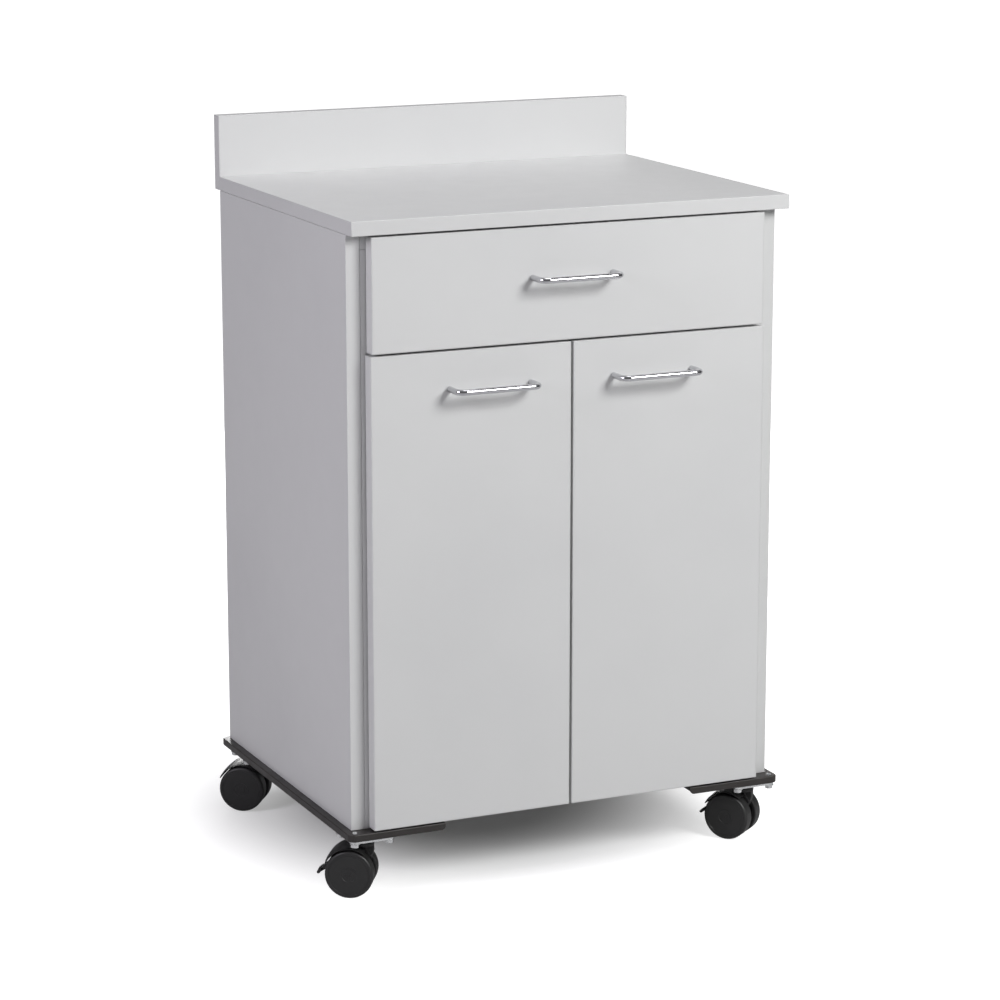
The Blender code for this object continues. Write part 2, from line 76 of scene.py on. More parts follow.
PIN_R = 0.0025               # shelf pins and their rows of holes
PIN_PITCH = 0.032
PIN_ROW_Y = (0.040, 0.390)
PIN_HOLES = range(-4, 6)
PIN_HOLE_DEPTH = 0.010

PULL_R = 0.004
PULL_BEND = 0.011

CUP_R = 0.0172
CUP_WALL = 0.0013
EAR_IN = 0.0095              # screw ears of a hinge cup, towards the door's middle
EAR_UP = 0.0225

RAIL_SHEET = 0.0025
RAIL_CORNER = 0.009
FOLD_R = 0.0012
LIP_CORNER = 0.007

BOLT_HALF = 0.024            # caster bolts from the swivel axis, both ways
WHEEL_ROUND = 0.0034
SLIDE_SHEET = 0.0012
ROLLER_R = 0.009

BOLT_CLEAR = 0.0006          # air between a caster bolt's end and the door above it

# The floor glow is painted light; where it fades out near the cabinet it leaves painted shadow.
GLOW = 1.0                   # what the camera sees the paper give off, and where it starts and
GLOW_FROM = 0.35             # is full, as multiples of half the cabinet's width and depth
GLOW_TO = 1.6
GLOW_DEPTH = 0.8             # the painted shadow is deeper than the cabinet and lies behind its middle
GLOW_BACK = 0.35

CAMERA_AT = (-1.84716, -4.08475, 1.48330)
CAMERA_YAW = 24.51           # degrees from straight at the front, and down from level
CAMERA_PITCH = 12.85
CAMERA_LENS = 121.6


# ---------------------------------------------------------------- materials
def new_material(name, roughness, metallic=0.0):
    made = bpy.data.materials.new(name)
    made.use_nodes = True
    shader = made.node_tree.nodes["Principled BSDF"]
    shader.inputs["Roughness"].default_value = roughness
    shader.inputs["Metallic"].default_value = metallic
    return made


def add_node(tree, kind, values=None):
    """A shader node with some of its inputs set."""
    made = tree.nodes.new(kind)
    for key, value in (values or {}).items():
        made.inputs[key].default_value = value
    return made


def noise(tree, scale, detail=2.0, stretch=(1.0, 1.0, 1.0)):
    """Noise in the piece's own coordinates."""
    place = add_node(tree, "ShaderNodeTexCoord")
    mapping = add_node(tree, "ShaderNodeMapping", {"Scale": stretch})
    made = add_node(tree, "ShaderNodeTexNoise", {"Scale": scale, "Detail": detail})
    tree.links.new(place.outputs["Object"], mapping.inputs["Vector"])
    tree.links.new(mapping.outputs["Vector"], made.inputs["Vector"])
    return made.outputs["Fac"]


def spread(tree, value, low, high):
    made = add_node(tree, "ShaderNodeMapRange",
                    {"From Min": 0.3, "From Max": 0.7, "To Min": low, "To Max": high})
    tree.links.new(value, made.inputs["Value"])
    return made.outputs["Result"]


def mixed(tree, value, dark, light):
    made = tree.nodes.new("ShaderNodeMix")
    made.data_type = "RGBA"
    made.inputs["A"].default_value = (*dark, 1.0)
    made.inputs["B"].default_value = (*light, 1.0)
    tree.links.new(value, made.inputs["Factor"])
    return made.outputs["Result"]


def summed(tree, one, two, share):
    """one plus a share of two."""
    made = tree.nodes.new("ShaderNodeMath")
    made.operation = "MULTIPLY_ADD"
    made.inputs[1].default_value = share
    tree.links.new(two, made.inputs[0])
    tree.links.new(one, made.inputs[2])
    return made.outputs["Value"]


def surface(name, dark, light, rough, grain, relief, metallic=0.0, cloud=3.0, stretch=(1, 1, 1),
            coat=0.0):
    """A material with cloudy and grainy colour, uneven gloss and a fine relief.

    grain is the relief's noise scale, per metre; relief is its height in metres.
    """
    made = new_material(name, rough[0], metallic)
    tree = made.node_tree
    shader = tree.nodes["Principled BSDF"]
    shader.inputs["Coat Weight"].default_value = coat
    shader.inputs["Coat Roughness"].default_value = 0.15
    clouds = noise(tree, cloud, 3.0)
    grains = noise(tree, grain, 3.0, stretch)
    blend = spread(tree, summed(tree, clouds, grains, 0.35), -0.35, 1.0)
    tree.links.new(mixed(tree, blend, dark, light), shader.inputs["Base Color"])
    gloss = spread(tree, noise(tree, cloud * 9, 4.0, stretch), rough[0], rough[1])
    tree.links.new(gloss, shader.inputs["Roughness"])
    bump = add_node(tree, "ShaderNodeBump", {"Strength": 0.6, "Distance": relief})
    tree.links.new(grains, bump.inputs["Height"])
    tree.links.new(bump.outputs["Normal"], shader.inputs["Normal"])
    return made


def make_materials():
    return {
        "laminate": surface("grey_laminate", (0.560, 0.565, 0.565), (0.590, 0.595, 0.592),
                            (0.40, 0.47), 1500.0, 0.00003),
        "band": surface("grey_edge_band", (0.570, 0.575, 0.573), (0.590, 0.595, 0.592),
                        (0.30, 0.38), 900.0, 0.00001),
        "box_board": surface("white_melamine", (0.70, 0.69, 0.655), (0.76, 0.75, 0.72),
                             (0.42, 0.52), 700.0, 0.00004),
        "chrome": surface("polished_chrome", (0.52, 0.52, 0.54), (0.58, 0.58, 0.60),
                          (0.035, 0.075), 260.0, 0.000004, 1.0, 6.0),
        "zinc": surface("bright_zinc", (0.56, 0.59, 0.62), (0.76, 0.77, 0.77),
                        (0.22, 0.38), 420.0, 0.00002, 1.0, 40.0),
        "steel": surface("nickel_plate", (0.62, 0.61, 0.59), (0.72, 0.71, 0.69),
                         (0.18, 0.28), 600.0, 0.00001, 1.0, 40.0),
        "black_steel": surface("black_powder_coat", (0.015, 0.013, 0.012), (0.023, 0.020, 0.018),
                               (0.34, 0.46), 650.0, 0.00009),
        "black_nylon": surface("black_moulded_nylon", (0.010, 0.010, 0.010),
                               (0.018, 0.018, 0.018), (0.40, 0.52), 1300.0, 0.00006),
        "wheel_nylon": surface("black_wheel_nylon", (0.010, 0.010, 0.010),
                               (0.017, 0.017, 0.017), (0.40, 0.50), 1700.0, 0.00005),
        "white_nylon": surface("white_roller_nylon", (0.66, 0.65, 0.61), (0.74, 0.73, 0.70),
                               (0.32, 0.42), 900.0, 0.00003),
        "bumper": surface("soft_bumper", (0.42, 0.43, 0.44), (0.50, 0.51, 0.52),
                          (0.20, 0.30), 500.0, 0.00002),
    }


# ---------------------------------------------------------------- shapes
def add_box(shape, low, high):
    """Box between two opposite corners, given either way round."""
    size = [abs(b - a) for a, b in zip(low, high)]
    middle = [(a + b) / 2 for a, b in zip(low, high)]
    place = Matrix.Translation(middle) @ Matrix.Diagonal((*size, 1.0))
    return bmesh.ops.create_cube(shape, size=1.0, matrix=place)["verts"]


def edges_between(verts, keep=lambda a, b: True):
    """Edges at these vertices that pass a test, each of them once."""
    found = dict.fromkeys(edge for vert in verts for edge in vert.link_edges)
    return [edge for edge in found if keep(edge.verts[0].co, edge.verts[1].co)]


def round_edges(shape, edges, radius, segments=3):
    bmesh.ops.bevel(shape, geom=edges, offset=radius, segments=segments, profile=0.5,
                    affect="EDGES", clamp_overlap=True)


def add_round_box(shape, low, high, radius, segments=3):
    round_edges(shape, edges_between(add_box(shape, low, high)), radius, segments)


def add_prism(shape, outline, low, high, axis="Z"):
    """Extrude a closed outline of (x, y) points along Z, (x, z) along Y or (y, z) along X."""
    def point(a, b, level):
        return {"Z": (a, b, level), "Y": (a, level, b), "X": (level, a, b)}[axis]
    verts = [shape.verts.new(point(a, b, low)) for a, b in outline]
    moved = bmesh.ops.extrude_face_region(shape, geom=[shape.faces.new(verts)])["geom"]
    tops = [found for found in moved if isinstance(found, bmesh.types.BMVert)]
    step = Vector(point(0, 0, high)) - Vector(point(0, 0, low))
    bmesh.ops.translate(shape, verts=tops, vec=step)
    return verts + tops


def add_turned(shape, profile, segments, place=Matrix.Identity(4)):
    """Turn (height, radius) points about the local Z axis; closed where the radius is 0.

    A profile that touches the axis nowhere closes on itself, as a ring.
    """
    rings = []
    for height, radius in profile:
        count = 1 if radius == 0 else segments
        rings.append([shape.verts.new(place @ Vector((
            radius * math.cos(2 * math.pi * k / segments),
            radius * math.sin(2 * math.pi * k / segments), height))) for k in range(count)])
    pairs = list(zip(rings, rings[1:]))
    if profile[0][1] and profile[-1][1]:
        pairs.append((rings[-1], rings[0]))
    for one, two in pairs:
        for k in range(segments):
            after = (k + 1) % segments
            corners = [one[k % len(one)], one[after % len(one)],
                       two[after % len(two)], two[k % len(two)]]
            shape.faces.new(list(dict.fromkeys(corners)))


def skin(shape, rings):
    """Join rings of equal size one after another, and cap the first and the last."""
    count = len(rings[0])
    for one, two in zip(rings, rings[1:]):
        for j in range(count):
            after = (j + 1) % count
            shape.faces.new((one[j], one[after], two[after], two[j]))
    shape.faces.new(rings[0])
    shape.faces.new(rings[-1])


def add_rod(shape, low, high, radius, segments, place):
    """Plain round bar along the local Z axis."""
    add_turned(shape, [(low, 0), (low, radius), (high, radius), (high, 0)], segments, place)


def add_soft_prism(shape, outline, low, high, axis, radius, segments=2):
    """Prism with the rims of both ends rounded."""
    verts = add_prism(shape, outline, low, high, axis)
    k = "XYZ".index(axis)
    rims = edges_between(verts, lambda a, b: abs(a[k] - b[k]) < 1e-6)
    round_edges(shape, rims, radius, segments)


def add_tube(shape, path, radius, sides, up=Vector((0, 0, 1))):
    """Round bar along a path that lies in one plane square to `up`, with chamfered ends."""
    rings = []
    last = len(path) - 1
    for k, point in enumerate(path):
        along = (path[min(k + 1, last)] - path[max(k - 1, 0)]).normalized()
        across = along.cross(up)
        places = [(point, radius)]
        if k in (0, last):
            inward = along if k == 0 else -along
            end = [(point, radius * 0.88), (point + inward * radius * 0.12, radius)]
            places = end if k == 0 else end[::-1]
        for centre, reach in places:
            rings.append([shape.verts.new(
                centre + across * reach * math.cos(2 * math.pi * j / sides)
                + up * reach * math.sin(2 * math.pi * j / sides)) for j in range(sides)])
    skin(shape, rings)


def arc(centre, radius, start_deg, end_deg, steps):
    points = []
    for k in range(steps + 1):
        turn = math.radians(start_deg + (end_deg - start_deg) * k / steps)
        points.append((centre[0] + radius * math.cos(turn), centre[1] + radius * math.sin(turn)))
    return points


def rounded_outline(half_a, half_b, radius, steps=6):
    outline = []
    for a, b, start in ((1, 1, 0), (-1, 1, 90), (-1, -1, 180), (1, -1, 270)):
        corner = (a * (half_a - radius), b * (half_b - radius))
        outline += arc(corner, radius, start, start + 90, steps)
    return outline


def hull_outline(points):
    """Convex outline round 2-D points."""
    def half(ordered):
        line = []
        for point in ordered:
            while len(line) > 1 and turn(line[-2], line[-1], point) <= 0:
                line.pop()
            line.append(point)
        return line[:-1]

    def turn(a, b, c):
        return (b[0] - a[0]) * (c[1] - a[1]) - (b[1] - a[1]) * (c[0] - a[0])
    ordered = sorted(set(points))
    return half(ordered) + half(ordered[::-1])


def facing(point, direction):
    """Places local +Z along a direction."""
    turn = Vector(direction).to_track_quat("Z", "Y")
    return Matrix.Translation(point) @ turn.to_matrix().to_4x4()


def moved(shape, place):
    bmesh.ops.transform(shape, matrix=place, verts=shape.verts)
    return shape


def add_copy(shape, mesh, place):
    """Add a mesh to a shape at a place."""
    before = set(shape.verts)
    shape.from_mesh(mesh)
    bmesh.ops.transform(shape, matrix=place,
                        verts=[vert for vert in shape.verts if vert not in before])


def mesh_of(name, shape):
    """Turn a shape into a mesh whose faces look outward."""
    bmesh.ops.recalc_face_normals(shape, faces=shape.faces)
    mesh = bpy.data.meshes.new(name)
    shape.to_mesh(mesh)
    shape.free()
    return mesh


def link_object(name, data):
    made = bpy.data.objects.new(name, data)
    bpy.context.collection.objects.link(made)
    return made


def discard(made):
    mesh = made.data
    bpy.data.objects.remove(made)
    bpy.data.meshes.remove(mesh)


def combine(shape, others, operation="DIFFERENCE"):
    """Cut the other closed shapes from a shape, or join them to it, one after another."""
    base = link_object("loose", mesh_of("loose", shape))
    for other in others:
        tool = link_object("loose", mesh_of("loose", other))
        change = base.modifiers.new("change", "BOOLEAN")
        change.operation = operation
        change.solver = "EXACT"
        change.object = tool
        graph = bpy.context.evaluated_depsgraph_get()
        result = bpy.data.meshes.new_from_object(base.evaluated_get(graph))
        before = base.data
        base.modifiers.clear()
        base.data = result
        bpy.data.meshes.remove(before)
        discard(tool)
    made = bmesh.new()
    made.from_mesh(base.data)
    discard(base)
    return made


def piece(name, shape, finishes, body, stands_for=(), sharp_deg=40):
    """Finish a shape as a named piece that rides on a CAD body."""
    mesh = mesh_of(name, shape)
    for finish in finishes:
        mesh.materials.append(finish)
    mesh.shade_smooth()
    mesh.set_sharp_from_angle(angle=math.radians(sharp_deg))
    made = link_object(name, mesh)
    normals = made.modifiers.new("flat faces stay flat", "WEIGHTED_NORMAL")
    normals.keep_sharp = True
    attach(made, body)
    if stands_for:
        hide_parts(*stands_for)
    return made


# ---------------------------------------------------------------- fasteners
def cross_recess(radius, height, depth):
    """Two crossed bars that cut a Phillips recess into a head."""
    bars = []
    for long_x in (True, False):
        bar = bmesh.new()
        reach, half = radius * 0.55, radius * 0.14
        x, y = (reach, half) if long_x else (half, reach)
        add_box(bar, (-x, -y, height - depth), (x, y, height + 0.001))
        bars.append(bar)
    return bars


def pan_head(radius, height):
    head = bmesh.new()
    crown = [(height * (0.35 + 0.65 * math.sin(turn)), radius * math.cos(turn) ** 0.6)
             for turn in (0.0, 0.35, 0.7, 1.05, 1.3)]
    add_turned(head, [(0, 0), (0, radius), *crown, (height, 0)], 24)
    return mesh_of("fastener", combine(head, cross_recess(radius, height, height * 0.7)))


def flat_head(radius):
    """Countersunk head whose rim stands a hair above the surface."""
    head = bmesh.new()
    rise = 0.0003
    add_turned(head, [(-0.0004, 0), (-0.0004, radius * 0.86), (0, radius), (rise * 0.5, radius),
                      (rise, radius * 0.93), (rise, 0)], 24)
    return mesh_of("fastener", combine(head, cross_recess(radius, rise, 0.0006)))


def hex_head(across_flats, height, washer_r, washer_t):
    """Bolt head with a chamfered crown on a plain washer."""
    corner = across_flats / math.sqrt(3)
    head = bmesh.new()
    outline = arc((0, 0), corner, 0, 300, 5)
    add_prism(head, outline, washer_t, washer_t + height)
    crown = bmesh.new()
    top = washer_t + height
    add_turned(crown, [(0, 0), (0, corner * 1.1), (top - corner * 0.13, corner * 1.02),
                       (top, corner * 0.84), (top, 0)], 36)
    head = combine(head, [crown], "INTERSECT")
    add_turned(head, [(0, 0), (0, washer_r - 0.0003), (0.0003, washer_r),
                      (washer_t - 0.0003, washer_r), (washer_t - 0.00002, washer_r - 0.0003),
                      (washer_t - 0.00002, 0)], 36)
    return mesh_of("fastener", head)


def bolt_end(radius, rise):
    """Threaded end of a bolt that stands out of a nut-tapped plate."""
    end = bmesh.new()
    pitch = 0.0008
    profile = [(0, 0), (0, radius)]
    turns = int(rise / pitch)
    for k in range(turns):
        profile += [((k + 0.5) * pitch, radius * 0.88), ((k + 1) * pitch, radius)]
    profile += [(rise, radius * 0.80), (rise, 0)]
    add_turned(end, profile, 20)
    return mesh_of("fastener", end)


def set_of(name, mesh, places, plating, body="cabinet"):
    """One piece that holds several of the same small plated part."""
    shape = bmesh.new()
    for place in places:
        add_copy(shape, mesh, place)
    return piece(name, shape, [plating], body)


# ---------------------------------------------------------------- boards
def add_board(shape, low, high, bands):
    """A board's core and the edge-band strips along the edges named in bands, such as -y."""
    free = [list(low), list(high)]
    for band in bands:
        axis = "xyz".index(band[1])
        outer = 1 if band[0] == "+" else 0
        strip = [list(free[0]), list(free[1])]
        inward = -1 if outer else 1
        strip[1 - outer][axis] = free[outer][axis] + inward * BAND_T
        verts = add_box(shape, *strip)
        rim = free[outer][axis]
        edges = edges_between(verts, lambda a, b: abs(a[axis] - rim) + abs(b[axis] - rim) < 1e-6)
        count = len(shape.faces)
        round_edges(shape, edges, ARRIS)
        shape.faces.ensure_lookup_table()
        for face in shape.faces[count - 6:]:
            face.material_index = 1
        free[outer][axis] += inward * (BAND_T + SEAM)
    add_round_box(shape, free[0], free[1], CORE_ARRIS, 1)


def banded(node, bands, finish, body, cuts=(), name=None):
    """Stand-in for a CAD board: the same box, with its bands and with any cuts in its core."""
    shape = bmesh.new()
    low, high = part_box(node)
    add_board(shape, low, high, bands)
    if cuts:
        shape = combine(shape, cuts)
    return piece(name or node + "_banded", shape, [finish["laminate"], finish["band"]], body,
                 [node])


def pin_holes(side):
    """Cutter for the two rows of shelf-pin holes in an inner side."""
    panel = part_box("%s_inner_side" % ("left" if side < 0 else "right"))
    inner_x = panel[0].x if side > 0 else panel[1].x
    shelf_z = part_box("adjustable_shelf")[0].z
    holes = bmesh.new()
    for row in PIN_ROW_Y:
        for k in PIN_HOLES:
            centre = (inner_x, panel[0].y + row, shelf_z - PIN_R + k * PIN_PITCH)
            add_rod(holes, -0.002, PIN_HOLE_DEPTH, PIN_R + 0.0001, 16,
                    facing(centre, (side, 0, 0)))
    return holes


def make_case(finish):
    for name, side in SIDES:
        banded(name + "_side_panel", ("-y", "+y"), finish, "cabinet")
        banded(name + "_inner_side", ("-y",), finish, "cabinet", [pin_holes(side)])
    for node in ("bottom_panel", "top_panel"):
        banded(node, ("-y",), finish, "cabinet")
    banded("adjustable_shelf", ("-y", "+y", "-x", "+x"), finish, "cabinet")
    banded("worktop", ("-y", "-x", "+x"), finish, "cabinet")
    banded("backsplash", ("+z", "-x", "+x", "-z"), finish, "cabinet")
    banded("back_panel", (), finish, "cabinet", name="back_panel_sheet")


def shelf_pin():
    """Peg with a collar and a flat paddle, pointing along +Z out of the panel."""
    pin = bmesh.new()
    add_turned(pin, [(-0.008, 0), (-0.008, PIN_R * 0.8), (-0.007, PIN_R), (0.0002, PIN_R),
                     (0.0002, 0.0042), (0.0014, 0.0042), (0.0014, PIN_R), (0.0088, PIN_R),
                     (0.0094, PIN_R * 0.8), (0.0094, 0)], 20)
    return mesh_of("fastener", pin)


def make_shelf_pins(finish):
    mesh = shelf_pin()
    shelf_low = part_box("adjustable_shelf")[0]
    for name, side in SIDES:
        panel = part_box(name + "_inner_side")
        inner_x = panel[0].x if side > 0 else panel[1].x
        places = [facing((inner_x, panel[0].y + row, shelf_low.z - PIN_R), (-side, 0, 0))
                  for row in PIN_ROW_Y]
        set_of(name + "_shelf_pins", mesh, places, finish["steel"])


def make_case_screws(finish, screws):
    """Countersunk screws in the back panel and the backsplash, pan heads under the worktop."""
    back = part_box("back_panel")
    places = []
    for node in ("bottom_panel", "top_panel"):
        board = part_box(node)
        height = (board[0].z + board[1].z) / 2
        for share in (0.06, 0.35, 0.65, 0.94):
            x = back[0].x + share * (back[1].x - back[0].x)
            places.append(facing((x, back[1].y, height), (0, 1, 0)))
    for name, side in SIDES:
        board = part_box(name + "_inner_side")
        for share in (0.28, 0.52, 0.76):
            places.append(facing(((board[0].x + board[1].x) / 2, back[1].y,
                                  back[0].z + share * (back[1].z - back[0].z)), (0, 1, 0)))
    set_of("back_panel_screws", screws["flat"], places, finish["zinc"])
    splash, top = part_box("backsplash"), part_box("worktop")
    height = (top[0].z + top[1].z) / 2
    places = [facing((splash[0].x + share * (splash[1].x - splash[0].x), splash[1].y, height),
                     (0, 1, 0)) for share in (0.08, 0.36, 0.64, 0.92)]
    set_of("backsplash_screws", screws["flat"], places, finish["zinc"])
    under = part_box("top_panel")
    places = [facing((under[0].x + a * (under[1].x - under[0].x),
                      under[0].y + b * (under[1].y - under[0].y), under[0].z), (0, 0, -1))
              for a in (0.12, 0.5, 0.88) for b in (0.15, 0.85)]
    set_of("worktop_screws", screws["pan"], places, finish["zinc"])


# ---------------------------------------------------------------- pulls
def make_pull(node, body, finish, screws, board):
    """Wire pull with true round bends, and the two screws behind it."""
    low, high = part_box(node)
    left, right = low.x + PULL_R, high.x - PULL_R
    bar_y, root_y = low.y + PULL_R, high.y
    z = (low.z + high.z) / 2
    plan = [(left, root_y), (left, bar_y + PULL_BEND + 0.004)]
    plan += arc((left + PULL_BEND, bar_y + PULL_BEND), PULL_BEND, 180, 270, 14)
    plan += arc((right - PULL_BEND, bar_y + PULL_BEND), PULL_BEND, 270, 360, 14)
    plan += [(right, bar_y + PULL_BEND + 0.004), (right, root_y)]
    shape = bmesh.new()
    add_tube(shape, [Vector((a, b, z)) for a, b in plan], PULL_R, 40)
    piece(node + "_wire", shape, [finish["chrome"]], body, [node], sharp_deg=50)
    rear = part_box(board)[1].y
    places = [facing((x, rear, z), (0, 1, 0)) for x in (left, right)]
    set_of(node + "_screws", screws["pan_thin"], places, finish["zinc"], body)


# ---------------------------------------------------------------- drawer
def make_drawer(finish, screws):
    banded("drawer_front", ("-z", "+z", "-x", "+x"), finish, "drawer")
    for node in ("drawer_left_side", "drawer_right_side", "drawer_back"):
        low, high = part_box(node)
        shape = bmesh.new()
        verts = add_box(shape, low, high)
        top = high.z
        along = 1 if high.y - low.y > high.x - low.x else 0
        rim = edges_between(verts, lambda a, b: abs(a.z - top) + abs(b.z - top) < 1e-6)
        rim = [e for e in rim if abs(e.verts[0].co[along] - e.verts[1].co[along]) > 0.01]
        round_edges(shape, rim, 0.0028, 4)
        piece(node + "_board", shape, [finish["box_board"]], "drawer", [node])
    frame["nodes"]["drawer_bottom"].data.materials[0] = finish["box_board"]
    for name, side in SIDES:
        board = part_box("drawer_%s_side" % name)
        outer_x = board[1].x if side > 0 else board[0].x
        places = [facing((outer_x, board[1].y - 0.006, board[0].z + up), (side, 0, 0))
                  for up in (0.045, 0.078)]
        set_of("drawer_%s_side_screws" % name, screws["flat"], places, finish["zinc"], "drawer")


def make_slide(name, side, finish, screws):
    """Roller slide: pressed channel and angle, each with a nylon roller on a rivet."""
    low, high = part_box(name + "_slide_cabinet_member")
    wall = high.x if side > 0 else low.x
    web = wall - side * SLIDE_SHEET
    lip = low.x if side > 0 else high.x
    notch = low.y + 0.024
    shape = bmesh.new()
    add_round_box(shape, (wall, low.y, low.z), (web, high.y, high.z), 0.0003, 1)
    for lip_z, ledge_z in ((low.z, low.z + SLIDE_SHEET), (high.z - SLIDE_SHEET, high.z)):
        flange = bmesh.new()
        add_round_box(flange, (lip, notch, lip_z), (web, high.y, ledge_z), 0.0003, 1)
        moved(flange, Matrix.Translation((side * 0.0004, 0, 0)))
        shape = combine(shape, [flange], "UNION")
    slots = []
    for y in (0.075, 0.190, 0.300):
        slot = bmesh.new()
        outline = [(low.y + y + a, (low.z + high.z) / 2 + b)
                   for a, b in rounded_outline(0.010, 0.0025, 0.0024, 4)]
        add_prism(slot, outline, min(wall, web) - 0.001, max(wall, web) + 0.001, "X")
        slots.append(slot)
    shape = combine(shape, slots)
    piece(name + "_slide_channel", shape, [finish["zinc"]], "cabinet",
          [name + "_slide_cabinet_member"])
    middle = (low.z + high.z) / 2
    places = [facing((web, low.y + y, middle), (-side, 0, 0)) for y in (0.040, 0.135, 0.360)]
    set_of(name + "_slide_channel_screws", screws["flat"], places, finish["zinc"])

    run_low, run_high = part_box(name + "_slide_drawer_member")
    web_in = run_low.x + 0.0075 if side > 0 else run_high.x - 0.0075
    shape = bmesh.new()
    foot_in, crown_out = (run_low.x, run_high.x) if side > 0 else (run_high.x, run_low.x)
    plan = [(foot_in, run_low.z), (foot_in, run_low.z + SLIDE_SHEET),
            (web_in, run_low.z + SLIDE_SHEET), (web_in, run_high.z), (crown_out, run_high.z),
            (crown_out, run_high.z - SLIDE_SHEET),
            (web_in + side * SLIDE_SHEET, run_high.z - SLIDE_SHEET),
            (web_in + side * SLIDE_SHEET, run_low.z)]
    verts = add_prism(shape, plan, run_low.y, run_high.y, "Y")
    long_edges = edges_between(verts, lambda a, b: abs(a.y - b.y) > 0.1)
    round_edges(shape, long_edges, 0.0004, 2)
    piece(name + "_slide_angle", shape, [finish["zinc"]], "drawer",
          [name + "_slide_drawer_member"])
    outer_web = web_in + side * SLIDE_SHEET
    places = [facing((outer_web, run_low.y + y, run_low.z + 0.014), (side, 0, 0))
              for y in (0.030, 0.170, 0.330)]
    set_of(name + "_slide_angle_screws", screws["flat"], places, finish["zinc"], "drawer")

    roller_x = (web + outer_web) / 2
    width = abs(web - outer_web) - 0.0022
    fixed = (roller_x, low.y + 0.011, run_high.z - SLIDE_SHEET - ROLLER_R - STAND)
    running = (roller_x, run_high.y - 0.012, low.z + SLIDE_SHEET + ROLLER_R + STAND)
    for label, centre, body in (("front", fixed, "cabinet"), ("rear", running, "drawer")):
        roller = bmesh.new()
        half = width / 2
        place = facing(centre, (side, 0, 0))
        add_turned(roller, [(-half, 0.0032), (-half, 0.0050), (-half + 0.0008, 0.0056),
                            (-half + 0.0008, 0.0074), (-half, 0.0080), (-half, ROLLER_R - 0.0006),
                            (-half + 0.0006, ROLLER_R), (half - 0.0006, ROLLER_R),
                            (half, ROLLER_R - 0.0006), (half, 0.0032)], 32, place)
        piece("%s_slide_%s_roller" % (name, label), roller, [finish["white_nylon"]], body)
        rivet = bmesh.new()
        reach = abs(web - outer_web) / 2 - 0.0001
        add_rod(rivet, -reach, reach, 0.0029, 20, place)
        piece("%s_slide_%s_rivet" % (name, label), rivet, [finish["steel"]], body)


# ---------------------------------------------------------------- doors and hinges
def cup_bore(centre, rear_y, depth):
    bore = bmesh.new()
    add_rod(bore, -0.002, depth, CUP_R + 0.0003, 48,
            facing((centre[0], rear_y, centre[1]), (0, -1, 0)))
    return bore


def make_door(name, side, finish, screws):
    body = name + "_door"
    rear_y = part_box(body)[1].y
    cuts = []
    for level in ("lower", "upper"):
        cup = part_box("%s_%s_hinge_cup" % (name, level))
        centre = ((cup[0].x + cup[1].x) / 2, (cup[0].z + cup[1].z) / 2)
        cuts.append(cup_bore(centre, rear_y, rear_y - cup[0].y + 0.0002))
        make_cup(name, level, side, centre, rear_y, cup, finish, screws)
        make_link(name, level, side, finish)
        make_arm(name, level, side, finish, screws)
    banded(body, ("-z", "+z", "-x", "+x"), finish, body, cuts)
    make_pull(name + "_door_handle", body, finish, screws, body)
    low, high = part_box(body)
    meeting_x, outer_x = (low.x, high.x) if side > 0 else (high.x, low.x)
    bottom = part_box("bottom_panel")
    bumpers = bmesh.new()
    add_bumper(bumpers, (meeting_x + side * 0.022, rear_y, (low.z + bottom[1].z) / 2))
    add_bumper(bumpers, (outer_x - side * 0.0075, rear_y, high.z - 0.012))
    piece(name + "_door_bumpers", bumpers, [finish["bumper"]], body)


def add_bumper(shape, at):
    """Stick-on dome that cushions a front against the case."""
    radius, rise = 0.0040, 0.0013
    dome = [(rise * math.sin(turn), radius * math.cos(turn)) for turn in
            (0.0, 0.4, 0.75, 1.1, 1.35)]
    add_turned(shape, [(0.00002, 0), *[(h + 0.00002, r) for h, r in dome], (rise, 0)], 24,
               facing(at, (0, 1, 0)))


def make_cup(name, level, side, centre, rear_y, cup, finish, screws):
    """Pressed cup in its bore, with a flange that has two screw ears."""
    x, z = centre
    depth = rear_y - cup[0].y
    flange_t = cup[1].y - rear_y
    inward = -side
    place = facing((x, rear_y, z), (0, 1, 0))
    ears = [(x + inward * EAR_IN, z + up) for up in (-EAR_UP, EAR_UP)]
    outline = arc((x, z), CUP_R + 0.0022, 0, 350, 35)
    for ear in ears:
        outline += arc(ear, 0.0056, 0, 345, 23)
    flange = bmesh.new()
    verts = add_prism(flange, hull_outline(outline), rear_y + 0.00005, rear_y + flange_t, "Y")
    top = rear_y + flange_t
    round_edges(flange, edges_between(verts, lambda a, b: min(a.y, b.y) > top - 1e-6), 0.0004, 2)
    hole = bmesh.new()
    add_rod(hole, -0.004, 0.006, CUP_R - CUP_WALL, 48, place)
    flange = combine(flange, [hole])
    bowl = bmesh.new()
    inner = CUP_R - CUP_WALL
    add_turned(bowl, [(-depth, 0), (-depth, CUP_R - 0.002), (-depth + 0.002, CUP_R),
                      (flange_t * 0.5, CUP_R), (flange_t * 0.5, inner), (-depth + 0.0035, inner),
                      (-depth + 0.0013, inner - 0.0022), (-depth + 0.0013, 0)], 48, place)
    shape = combine(flange, [bowl], "UNION")
    node = "%s_%s_hinge_cup" % (name, level)
    piece(node + "_pressed", shape, [finish["steel"]], name + "_door", [node])
    places = [facing((a, top - 0.0002, b), (0, 1, 0)) for a, b in ears]
    set_of(node + "_screws", screws["flat"], places, finish["zinc"], name + "_door")


